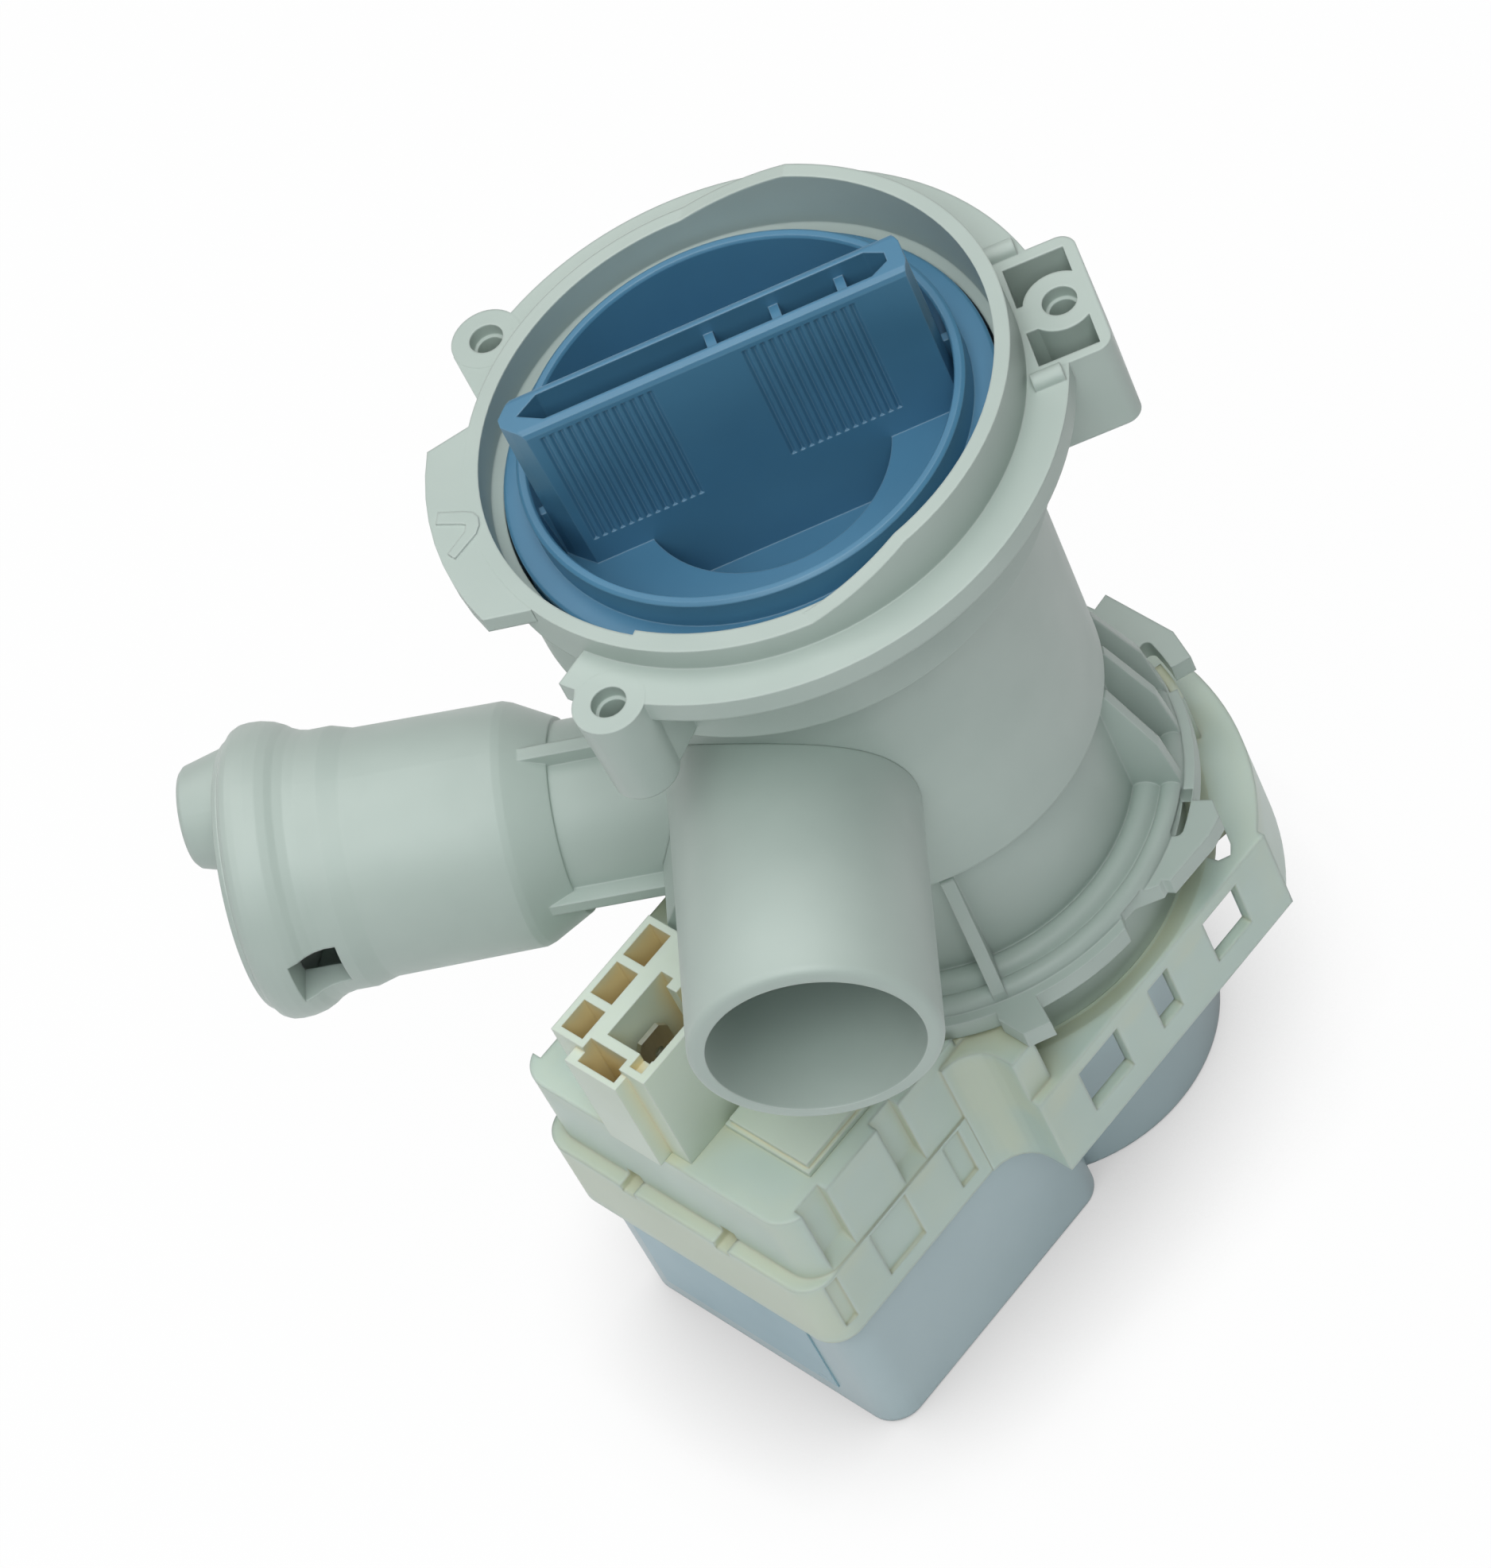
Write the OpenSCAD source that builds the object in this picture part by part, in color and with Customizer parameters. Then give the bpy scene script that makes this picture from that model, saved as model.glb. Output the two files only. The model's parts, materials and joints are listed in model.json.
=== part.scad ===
// Washer drain pump with a filter chamber, standing on its motor, +Z up along the pump axis.
// -Y is the side of the inlet stub, -X the side of the outlet, and the motor box lies towards 225 degrees.

/* [Materials and fits] */
// Wall of the pump mouldings
wall = 2.4; // [2:0.2:2.8]
// Wall of the motor frame and covers
shell = 2; // [1.6:0.2:2.4]
// Clearance between pieces that slide or drop into each other
gap = 0.3; // [0.2:0.05:0.35]
// Radial running clearance of the shaft and the hinge pin
run = 0.05; // [0.03:0.01:0.08]

/* [Motor cover] */
// Height of the stator cover that shows below the frame
cover_h = 28.5; // [26:0.5:32]
// Half width of the stator cover
cover_half = 26.8; // [26:0.2:28]
// Distance from the pump axis to the far end of the stator cover
cover_reach = 67.7; // [66:0.5:72]
// Distance from the pump axis to the near end of the box part
cover_near = 17; // [16:0.5:18]
// Radius of the round part of the stator cover
cover_round = 28; // [27.5:0.25:29]
// How far the cover reaches up inside the frame
cover_tuck = 9; // [6:0.5:10]
// Corner radius of the cover and the frame
corner_r = 5; // [3:0.5:6]

/* [Motor frame] */
// Direction of the motor box about the pump axis
motor_turn = 225; // [220:1:230]
// Height of the skirt round the pump
skirt_h = 18; // [17:0.5:20]
// Height of the block over the coils
block_h = 30.5; // [29:0.5:33]
// Radius of the skirt round the pump
skirt_r = 45.3; // [44.5:0.2:46]
// Half width of the straight sides of the skirt
skirt_half = 38.5; // [37.5:0.5:39.5]
// Where the straight sides of the skirt start, along the motor
skirt_from = -26; // [-28:0.5:-24]
// Where the straight sides of the skirt end, along the motor
skirt_to = 27.8; // [27:0.2:29]
// Height of the shoulder that joins the skirt to the block
shoulder_h = 28; // [26:0.5:29]
// Thickness of the shelf on top of the skirt
shelf_t = 2.2; // [2:0.1:2.6]

/* [Connector] */
// Height of the connector above the block
socket_h = 22.2; // [20:0.5:24]
// Length of the connector along the motor
socket_len = 22.2; // [21:0.2:23]
// Width of the connector
socket_w = 18.6; // [18:0.2:19.5]
// Middle of the connector across the motor
socket_mid = -2.3; // [-3:0.1:-1.5]
// Width of the blade terminals
blade_w = 6.3; // [6:0.1:6.6]
// Thickness of the blade terminals
blade_t = 0.8; // [0.6:0.1:1]
// Distance between the blade terminals
blade_pitch = 5; // [4.8:0.1:5.4]
// Side of the square snap-in lid
lid_side = 18; // [17:0.5:19]

/* [Pump body] */
// How far the pump mouth sinks below the top of the skirt
mouth_sink = 1.9; // [1.5:0.1:2.5]
// Outer radius of the pump mouth
mouth_r = 34.2; // [34:0.2:35]
// Height from the mouth to the underside of the bayonet flange
mouth_h = 12.8; // [12:0.2:14]
// Radius of the bayonet flange
flange_r = 39.5; // [39:0.25:40.5]
// Thickness of the bayonet flange
flange_t = 3.4; // [3:0.2:4]
// Outer radius of the lower body
lower_r = 30.6; // [30:0.2:31]
// Height of the lower body above the flange
lower_h = 24.3; // [23:0.5:26]
// Outer radius of the filter chamber at its foot
chamber_r = 32.3; // [32:0.2:33]
// Height of the filter chamber up to the cap housing
chamber_h = 48.7; // [47:0.5:51]
// How much wider the chamber is at its top
chamber_draft = 1; // [0.6:0.1:1.4]
// Outer radius of the cap housing
head_r = 38.1; // [37.8:0.1:38.6]
// Height of the cap housing below the front plate
head_h = 15.5; // [14.5:0.5:17]
// Radius of the front plate
plate_r = 45.5; // [44.5:0.25:46.5]
// Thickness of the front plate
plate_t = 3.7; // [3.2:0.1:4.4]
// Outer radius of the collar
collar_r = 39.6; // [39.4:0.1:40.2]
// Height of the low part of the collar
collar_low = 3.9; // [3:0.1:4.5]
// Height of the high part of the collar
collar_high = 8.4; // [7:0.1:9]

/* [Inlet] */
// Outer radius of the inlet stub
inlet_r = 17.65; // [17.2:0.05:18]
// Wall of the inlet stub
inlet_wall = 2.5; // [2.2:0.1:2.8]
// Sideways place of the inlet stub
inlet_x = -9.2; // [-10:0.1:-8]
// Height of the inlet axis above the foot of the filter chamber
inlet_up = 23; // [22:0.5:25]
// Reach of the inlet stub from the pump axis
inlet_reach = 71; // [66:1:76]

/* [Outlet] */
// Outer radius of the outlet neck
neck_r = 14.1; // [13.6:0.1:14.6]
// Outer radius of the outlet socket
socket_r = 18.7; // [18.3:0.1:19.2]
// Outer radius of the lip at the end of the socket
lip_r = 22.3; // [21.8:0.1:22.8]
// Length of the outlet socket
socket_run = 42.2; // [41:0.2:44]
// Distance from the pump axis to the outlet socket
socket_from = 57.8; // [56:0.2:60]
// Turn of the outlet about the upright
outlet_turn = 1.5; // [0:0.1:2]
// Rise of the outlet
outlet_rise = 3; // [2:0.1:3.5]
// Height of the outlet axis below the foot of the filter chamber
outlet_down = 10.5; // [10:0.1:11]
// Radius of the spout at its root
spout_root_r = 9.8; // [9.4:0.1:10]
// Radius of the spout at its tip
spout_tip_r = 7.7; // [7.4:0.1:8]
// Reach of the spout past the lip
spout_reach = 9; // [8:0.5:10]
// Bore of the spout
spout_bore_r = 5; // [4.6:0.1:5.2]
// Distance of the spout from the middle of the socket
spout_off = 10; // [9:0.2:10]
// Radius of the check flap
flap_r = 13; // [12.6:0.1:13.2]

/* [Filter cap] */
// Outer radius of the cup of the cap
cup_r = 32; // [31.6:0.1:32.4]
// Wall of the cup
cup_wall = 1.6; // [1.4:0.1:2]
// Height of the cup rim above its floor
cup_depth = 11.8; // [11:0.2:13]
// Height of the grip above the floor of the cup
grip_h = 28.6; // [27:0.2:31]
// Thickness of the grip at its top
grip_t = 7.6; // [7:0.2:8.2]
// How much thicker the grip is at its foot
grip_draft = 1.6; // [1:0.2:2]
// Half length of the grip at its top
grip_half = 29.4; // [28.8:0.1:29.8]
// Turn of the grip about the pump axis
grip_turn = 12; // [0:1:30]
// Radius of the cap flange below the rim
cap_flange_r = 35.5; // [35.2:0.05:35.7]
// Radius of the round recess in the floor of the cup
recess_r = 18.3; // [17.5:0.1:18.6]
// Depth of the recess
recess_d = 10.4; // [9:0.2:11]
// Radius of the section of the cap seal
seal_r = 1.4; // [1.3:0.05:1.5]
// Reach of the filter comb below the cap
comb_h = 42; // [38:1:44]

/* [Screw eyes] */
// Radius of the screw holes
eye_hole_r = 2.05; // [1.9:0.05:2.2]
// Outer radius of the screw bosses
eye_r = 5.2; // [5:0.1:5.5]
// Distance from the pump axis to the screw holes
eye_reach = 46; // [45.5:0.1:46.5]
// Depth of the screw bosses
eye_depth = 16.2; // [15:0.2:18]

/* [Rotor and impeller] */
// Radius of the rotor shaft
shaft_r = 1.6; // [1.5:0.05:1.8]
// Radius of the rotor magnet
magnet_r = 11.4; // [11:0.1:11.6]
// Length of the rotor magnet
magnet_h = 22; // [20:0.5:24]
// Outer radius of the rotor can
can_r = 13.2; // [13:0.1:13.4]
// Radius of the impeller
impeller_r = 20; // [18:0.5:22]
// Height of the impeller vanes
vane_h = 8; // [7:0.2:9]
// Number of impeller vanes
vanes = 4; // [3:1:6]

/* [Stator] */
// Thickness of the stack of laminations
stack_h = 17; // [15:0.5:17]
// Width of one arm of the core
arm_w = 8; // [7:0.5:9]
// Distance from the middle plane to an arm of the core
arm_mid = 13.2; // [12.8:0.1:13.4]
// Thickness of one winding over the bobbin
winding_t = 3.4; // [3:0.1:3.8]

/* [Hidden] */
$fn = 96;

HOUSING = [0.73, 0.77, 0.75];
CREAM = [0.86, 0.88, 0.8];
COVER = [0.74, 0.78, 0.8];
BLUE = [0.33, 0.49, 0.66];
RUBBER = [0.15, 0.15, 0.16];
STEEL = [0.75, 0.76, 0.78];
COPPER = [0.72, 0.42, 0.22];

// Levels from the surface that the pump stands on
frame_z = cover_h;
skirt_top = frame_z + skirt_h;
block_top = frame_z + block_h;
mouth_z = skirt_top - mouth_sink;
flange_z = mouth_z + mouth_h;
flange_top = flange_z + flange_t;
chamber_z = flange_top + lower_h;
head_z = chamber_z + chamber_h;
plate_z = head_z + head_h;
plate_top = plate_z + plate_t;
collar_low_z = plate_top + collar_low;
collar_high_z = plate_top + collar_high;
chamber_top_r = chamber_r + chamber_draft;
block_half = cover_half + 1.2;
block_reach = cover_reach + 2.3;
band_out = 2.4;
band_h = 15;
block_in_half = block_half - 0.4 - shell;
block_in_reach = block_reach - band_out - shell;
tuck_reach = block_in_reach - gap;
seat_z = mouth_z - 2.4;

// Cap levels hang from the low rim of the collar
cup_rim_z = collar_low_z;
cup_floor_z = cup_rim_z - cup_depth;
cap_bottom_z = cup_floor_z - 6.6;
cap_flange_z = cup_rim_z - 5;
collar_in_r = collar_r - 2.2;
seat_r = head_r - 2.2;
plug_r = seat_r - gap;
seal_z = cap_bottom_z + 1.2 + seal_r;

// Inside of the pump body
mouth_in_r = mouth_r - wall;
volute_in_r = mouth_in_r - wall;
can_flange_t = 4.2;
volute_floor = mouth_z + can_flange_t;
eye_in_r = 10.5;
volute_roof = flange_z + 1.2;
lower_floor = volute_roof + wall;
lower_in_r = lower_r - wall;
inlet_z = chamber_z + inlet_up;
outlet_z = chamber_z - outlet_down;

// The check flap hangs from a pin at the top of its seat and lets water out only
flap_seat = socket_from + wall;
flap_t = 1.8;
lip_plug_t = 1;
flap_pin_r = 0.6;
flap_hinge_x = socket_r - wall - 1.8;
flap_hinge_z = flap_seat + gap + 1.2;

// The outlet duct stands on the side of the lower body
duct_left = -37;
duct_right = -21;
duct_front = -23.5;
duct_back = 15;
duct_top = chamber_z + 4;
duct_edge = chamber_z - 6;

// Turned fits
can_in_r = can_r - 0.8;
bearing_r = shaft_r + 2.4;
cushion_r = bearing_r + 2;
front_z = mouth_z - 1.2;
magnet_top = front_z - 7.5;
magnet_z = magnet_top - magnet_h;
rear_z = magnet_z - 7.2;
stack_mid = magnet_z + magnet_h / 2;
stack_z = stack_mid - stack_h / 2;
impeller_z = volute_floor + 0.8;
hub_r = 6;
dog_z = impeller_z;

function arc(cx, cy, r, from, to, n = 6) =
    [for (i = [0:n]) [cx + r * cos(from + (to - from) * i / n), cy + r * sin(from + (to - from) * i / n)]];

module ring(r_out, r_in, h) {
    difference() {
        cylinder(r = r_out, h = h);
        translate([0, 0, -1]) cylinder(r = r_in, h = h + 2);
    }
}

module along_motor() {
    rotate([0, 0, motor_turn]) children();
}

// A frame whose +Z runs out along the outlet and whose +X points up
module along_outlet() {
    translate([0, 0, outlet_z]) rotate([0, 0, 180 - outlet_turn])
        rotate([0, 90 - outlet_rise, 0]) rotate([0, 0, 180]) children();
}

// A rounded rectangle from u0 to u1 along the motor and as wide as twice half
module plan_box(u0, u1, half, r, h) {
    linear_extrude(height = h) union() {
        translate([u0 + r, -half]) square([u1 - u0 - 2 * r, 2 * half]);
        translate([u0, -half + r]) square([u1 - u0, 2 * half - 2 * r]);
        for (u = [u0 + r, u1 - r], w = [-half + r, half - r])
            translate([u, w]) circle(r = r);
    }
}

// The housing is one moulding, split at its natural steps: pump, filter chamber, cap head, stub, duct, branch

touch = 0.03;
lip_in = 0.8;
seam = 0.03;

module body_turned(grow) {
    rotate_extrude() polygon([
        [0, mouth_z], [mouth_r, mouth_z], [mouth_r, flange_z], [flange_r + grow, flange_z],
        [flange_r + grow, flange_top + grow], [lower_r + grow, flange_top + grow],
        [lower_r + grow, chamber_z],
        [chamber_r + grow, chamber_z], [chamber_top_r + grow, head_z], [0, head_z]]);
}

// Space of the filter chamber, the cap seat and the collar
module chamber_space() {
    rotate_extrude() polygon([
        [0, lower_floor], [lower_in_r, lower_floor], [lower_in_r, chamber_z + 1],
        [chamber_r - wall, chamber_z + 2], [chamber_top_r - wall, cap_bottom_z - 2],
        [seat_r, cap_bottom_z - 0.8], [seat_r, plate_z + 1], [collar_in_r, plate_z + 2],
        [collar_in_r, collar_high_z + 1], [0, collar_high_z + 1]]);
}

// The collar is higher on the right, with a long ramp at each end
// The collar is higher along the right, with a ramp down at the front and at the back
module collar_rise() {
    rise = collar_high_z - collar_low_z;
    intersection() {
        translate([0, 0, collar_low_z - 1]) difference() {
            cylinder(r = collar_r, h = rise + 1);
            translate([0, 0, -1]) cylinder(r = collar_in_r, h = rise + 3);
        }
        union() {
            translate([0, 0, collar_low_z - 2]) linear_extrude(height = rise + 4)
                polygon(concat([[0, 0]], arc(0, 0, 2 * collar_r, -56, 74, 12)));
            rotate([0, 0, 74]) ramp(16, rise);
            rotate([0, 0, -56]) mirror([0, 1, 0]) ramp(15.4, rise);
        }
    }
}

// A thin lip is left standing inside the front of the collar
module collar_lip() {
    translate([0, 0, plate_top - 0.8]) linear_extrude(height = 20) difference() {
        polygon(concat([[0, 0]], arc(0, 0, 2 * collar_r, -117, -56, 6)));
        circle(r = collar_in_r - lip_in);
    }
}

module ramp(run_len, rise) {
    translate([25, 0, collar_low_z]) rotate([90, 0, 90]) linear_extrude(height = 25)
        polygon([[-2, -0.5], [run_len + 0.5 * run_len / rise, -0.5], [-2, rise * (run_len + 2) / run_len]]);
}

// The plate stops short on the left, where the arrow tab stands out from the rim of the collar
module front_plate() {
    translate([0, 0, plate_z]) linear_extrude(height = plate_t) {
        difference() {
            circle(r = plate_r);
            polygon(concat([[0, 0]], arc(0, 0, 2 * collar_r, 150, 230.7, 6)));
        }
        polygon([[-30, 14], [-37.6, 16.2], [-41.3, 26.4], [-36.3, 28.2], [-26, 30]]);
        polygon([[-22, -28], [-26.2, -31.9], [-27.2, -41.2], [-22.1, -40.3], [-18, -34]]);
    }
}

// The tab with the raised arrow that shows where the grip points when the cap is shut
module arrow_tab() {
    translate([0, 0, collar_low_z - 2.7]) linear_extrude(height = 2.7 - seam)
        polygon(concat([[-38.2, 9.8]], arc(0, 0, plate_r - 0.4, 171, 213, 8), [[-30.9, -24.9]],
            arc(0, 0, 38, 215, 168, 8)));
    translate([0, 0, collar_low_z - 0.2]) linear_extrude(height = 0.5)
        polygon([[-43.7, -6.2], [-43.3, -4.3], [-39.4, -5.3], [-38.3, -5.8], [-37.6, -6.8], [-37.5, -8.2],
            [-38, -9.6], [-41.2, -13], [-42.2, -11.9], [-39.6, -8.8], [-39.4, -7.6], [-40, -7.3]]);
}

module eye_at(angle) {
    rotate([0, 0, angle]) translate([eye_reach, 0, 0]) children();
}

module eye_ear(angle) {
    rotate([0, 0, angle]) {
        translate([eye_reach, 0, plate_top - eye_depth])
            cylinder(r1 = eye_r - 0.4, r2 = eye_r, h = eye_depth + seam);
        translate([head_r - 2, -eye_r * 0.8, plate_top - eye_depth])
            cube([eye_reach - head_r + 2, eye_r * 1.6, eye_depth - seam]);
    }
}

corner_angle = 10.7;
corner_half = 11;
corner_out = 50.9;

// The deep corner bracket has two pockets beside its screw boss
module corner_bracket() {
    rotate([0, 0, corner_angle]) {
        translate([0, 0, plate_top - eye_depth]) linear_extrude(height = eye_depth + seam) union() {
            translate([head_r - 2, -corner_half]) square([corner_out - 2.5 - head_r + 2, 2 * corner_half]);
            translate([head_r - 2, -corner_half + 2.5])
                square([corner_out - head_r + 2, 2 * corner_half - 5]);
            for (side = [-1, 1])
                translate([corner_out - 2.5, side * (corner_half - 2.5)]) circle(r = 2.5);
        }
        for (side = [-1, 1])
            translate([collar_r - 1, side * (corner_half + 1.2), plate_top]) rotate([0, 90, 0])
                cylinder(r = 1.5, h = 4.4);
    }
}

module corner_pockets() {
    rotate([0, 0, corner_angle]) translate([0, 0, plate_top - eye_depth + wall]) difference() {
        for (side = [0, 1]) mirror([0, side, 0])
            translate([collar_r + 0.6, 1.6 + side * 1.6, 0])
                cube([corner_out - 1.8 - collar_r - 0.6, corner_half - 3.6 - side * 1, eye_depth]);
        translate([eye_reach, 0, -1]) cylinder(r = eye_r, h = eye_depth + 2);
    }
}

module cap_housing() {
    color(HOUSING) difference() {
        union() {
            rotate_extrude() polygon([
                [0, head_z], [head_r - 0.6, head_z], [head_r, head_z + 0.8], [head_r, plate_z],
                [collar_r, plate_z], [collar_r, collar_low_z], [0, collar_low_z]]);
            collar_rise();
            front_plate();
            arrow_tab();
            eye_ear(142.2);
            eye_ear(241.3);
            corner_bracket();
        }
        difference() {
            chamber_space();
            collar_lip();
        }
        corner_pockets();
        for (angle = [142.2, 241.3, corner_angle]) eye_at(angle) {
            translate([0, 0, plate_top - 12]) cylinder(r = eye_hole_r, h = 14);
            translate([0, 0, plate_top - 2.2]) cylinder(r = eye_hole_r + 0.45, h = 4);
        }
    }
}

// Bayonet tabs in plan, in order: front, right, upper right, and two at the back
module bayonet_tabs() {
    polygon([[9, -30], [12, -38], [13.6, -42.8], [9.4, -43.8], [6, -40.3], [5, -30]]);
    polygon([[30, -8], [41.1, -11], [41.7, -14.2], [39.9, -17], [33.4, -23.3], [24, -20]]);
    polygon([[24, 24.5], [29.3, 30.7], [38.7, 20.8], [40.8, 15.5], [32, 12.3]]);
    for (tab = [[88, 112], [150, 176]])
        polygon(concat(arc(0, 0, flange_r - 2, tab[1], tab[0], 4),
            arc(0, 0, flange_r + 3.5, tab[0] + 3, tab[1] - 3, 5)));
}

// A slot along the rim of the flange, open at one end and round at the other
module rim_slot(r_in, r_out, open_at, round_at) {
    mid = (r_in + r_out) / 2;
    polygon(concat(arc(0, 0, r_in, open_at, round_at, 6), arc(0, 0, r_out, round_at, open_at, 6)));
    rotate([0, 0, round_at]) translate([mid, 0]) circle(r = (r_out - r_in) / 2, $fn = 24);
}

catch_in_r = 38.6;
catch_out_r = 40;

module bayonet_cuts() {
    rim_slot(catch_in_r - gap, catch_out_r + gap, 15, 29);
    rim_slot(36.9, 39.3, -12, -22.6);
    // Notch between the right tab and the front of the flange
    polygon([[33.4, -23.3], [27.1, -24.5], [25.4, -26], [26.1, -30.4], [28, -36], [40, -30], [38, -22]]);
}

module flange_rib(angle, thick, steep) {
    rotate([0, 0, angle]) translate([0, thick / 2, 0]) rotate([90, 0, 0]) linear_extrude(height = thick)
        polygon([[lower_r - 1, flange_top - 1], [flange_r - 1.6, flange_top - 1],
            [flange_r - 1.6, flange_top + 2], [flange_r - 1 - steep, flange_top + 11],
            [chamber_r + 0.1, chamber_z - 0.6], [lower_r - 1, chamber_z - seam]]);
}

module duct_block(inset) {
    // A sloped roof leads the duct into the side of the filter chamber
    translate([0, duct_back - inset, 0]) rotate([90, 0, 0])
        linear_extrude(height = duct_back - duct_front - 2 * inset)
        polygon([[duct_left + inset, flange_top + inset], [duct_left + inset, duct_edge - inset * 0.4],
            [duct_left + 6, duct_top - inset], [duct_right - inset, duct_top - inset],
            [duct_right - inset, flange_top + inset]]);
}

module neck_bore() {
    along_outlet() translate([0, 0, -duct_left - 3]) cylinder(r = neck_r - wall, h = socket_from);
}

module inlet_bore() {
    translate([inlet_x, 0, inlet_z]) rotate([90, 0, 0])
        translate([0, 0, 12]) cylinder(r = inlet_r - inlet_wall, h = inlet_reach);
}

// Way from the impeller chamber up into the duct
module duct_port() {
    intersection() {
        translate([-mouth_r, duct_front + wall, volute_floor])
            cube([mouth_r - 24, duct_back - duct_front - 2 * wall, flange_top + wall + 1 - volute_floor]);
        cylinder(r = mouth_in_r, h = chamber_z);
    }
}

// Pump mouth with the impeller chamber, the bayonet flange and the lower body
module pump_housing() {
    color(HOUSING) difference() {
        union() {
            rotate_extrude() polygon([
                [0, mouth_z], [mouth_r, mouth_z], [mouth_r, flange_z], [flange_r, flange_z],
                [flange_r, flange_top], [lower_r, flange_top], [lower_r, chamber_z], [0, chamber_z]]);
            for (bead = [[lower_r + 1.8, 2.2], [lower_r + 5.6, 1.7]])
                rotate_extrude() translate([bead[0], flange_top]) circle(r = bead[1]);
            translate([0, 0, flange_z]) linear_extrude(height = flange_t) bayonet_tabs();
            for (angle = [16.4, 3.7, -10.3]) flange_rib(angle, 1.6, 1.6);
            flange_rib(-79.5, 2, 3.4);
        }
        duct_block(0);
        chamber_space();
        translate([0, 0, mouth_z - 1]) cylinder(r = mouth_in_r, h = volute_floor - mouth_z + 1);
        translate([0, 0, volute_floor - 0.5])
            cylinder(r = volute_in_r, h = volute_roof - volute_floor + 0.5);
        translate([0, 0, volute_roof - 1]) cylinder(r = eye_in_r, h = lower_floor - volute_roof + 2);
        duct_port();
        translate([0, 0, flange_z - 1]) linear_extrude(height = flange_t + 1.6) bayonet_cuts();
    }
}

module filter_housing() {
    color(HOUSING) difference() {
        rotate_extrude() polygon([
            [0, chamber_z], [chamber_r, chamber_z], [chamber_top_r, head_z], [0, head_z]]);
        duct_block(0);
        chamber_space();
        inlet_bore();
    }
}

module outlet_duct() {
    color(HOUSING) difference() {
        duct_block(0);
        duct_block(wall);
        duct_port();
        neck_bore();
    }
}

// The stub swells a little from here to its root
stub_root = 33.5;

module inlet_stub() {
    color(HOUSING) difference() {
        translate([inlet_x, 0, inlet_z]) rotate([90, 0, 0]) rotate_extrude()
            polygon(concat([[0, 10], [inlet_r + 0.25, 10], [inlet_r, stub_root]],
                arc(inlet_r - 1.25, inlet_reach - 1.25, 1.25, 0, 90, 5), [[0, inlet_reach]]));
        inlet_bore();
        body_turned(touch);
    }
}

// The branch carries the check flap in a wide socket with a thick lip
module outlet_branch() {
    color(HOUSING) difference() {
        along_outlet() {
            translate([0, 0, 30]) cylinder(r = neck_r, h = socket_from - 29);
            translate([0, 0, socket_from]) rotate_extrude() polygon([
                [0, -7], [neck_r + 0.6, -7], [socket_r - 0.7, -0.8], [socket_r - 0.3, 0.4],
                [socket_r, 23.4], [socket_r + 0.9, 26.6], [socket_r + 0.9, 30], [socket_r + 1.2, 31.6],
                [lip_r - 1.8, 33], [lip_r - 1.1, 34], [lip_r - 0.5, 35.3], [lip_r - 0.1, 37],
                [lip_r, 38.6], [lip_r - 0.1, 39.7], [lip_r - 0.5, 40.6],
                [lip_r - 1.2, socket_run - lip_plug_t],
                [0, socket_run - lip_plug_t]]);
            for (turn = [0, 90, 180, 270]) rotate([0, 0, turn])
                translate([0, -1.1, 34]) cube([neck_r + 2.6, 2.2, socket_from - 33.5]);
        }
        difference() {
            along_outlet() {
                translate([0, 0, socket_from + wall]) cylinder(r = socket_r - wall, h = socket_run);
                for (turn = [0, 90, 180]) rotate([0, 0, 90 + turn])
                    translate([0, -4.4, socket_from + 28.4]) cube([30, 8.8, 7.2]);
            }
            flap_lugs();
        }
        neck_bore();
        duct_block(-touch);
        body_turned(touch);
        translate([0, 0, flange_z]) cylinder(r = flange_r - 1, h = flange_t + 2.2);
    }
}

// Two lugs inside the socket hold the hinge pin of the flap
module flap_lugs() {
    along_outlet() difference() {
        for (side = [-1, 1])
            translate([flap_hinge_x - 1.1, side * 4.3 - 1.1, flap_seat - 0.5])
                cube([socket_r - wall - flap_hinge_x + 1.6, 2.2, 3.2]);
        translate([flap_hinge_x, 8, flap_hinge_z]) rotate([90, 0, 0])
            cylinder(r = flap_pin_r + 0.02, h = 16);
    }
}

// Outlet pieces

// A closing plug carries the hose spout off centre, towards its upper back side
module outlet_spout() {
    plug_from = socket_run - 5.6;
    color(HOUSING) along_outlet() translate([0, 0, socket_from]) rotate([0, 0, -35]) difference() {
        union() {
            translate([0, 0, plug_from]) cylinder(r = socket_r - wall - 0.05, h = socket_run - plug_from);
            translate([0, 0, socket_run - lip_plug_t])
                cylinder(r1 = lip_r - 1.3, r2 = lip_r - 2, h = lip_plug_t);
            translate([0, spout_off, socket_run - 1]) rotate_extrude() polygon([
                [0, 0], [spout_root_r, 0], [spout_root_r, 1], [spout_tip_r + 0.1, spout_reach - 0.6],
                [spout_tip_r - 0.5, spout_reach], [0, spout_reach]]);
        }
        translate([0, spout_off, plug_from - 1]) cylinder(r = spout_bore_r, h = socket_run);
    }
}

module check_flap() {
    color(RUBBER) along_outlet() difference() {
        union() {
            translate([0, 0, flap_seat + gap]) difference() {
                cylinder(r = flap_r, h = flap_t);
                translate([flap_hinge_x - 2.4, -flap_r, -1]) cube([4, 2 * flap_r, flap_t + 2]);
            }
            translate([flap_hinge_x - 4, -2.9, flap_seat + gap]) cube([4, 5.8, flap_t]);
            translate([flap_hinge_x, 2.9, flap_hinge_z]) rotate([90, 0, 0]) cylinder(r = 1.2, h = 5.8);
        }
        translate([flap_hinge_x, 5, flap_hinge_z]) rotate([90, 0, 0])
            cylinder(r = flap_pin_r + run, h = 10);
    }
}

module flap_pin() {
    color(STEEL) along_outlet() translate([flap_hinge_x, 5.3, flap_hinge_z]) rotate([90, 0, 0])
        cylinder(r = flap_pin_r, h = 10.6);
}

// Filter cap

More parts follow.
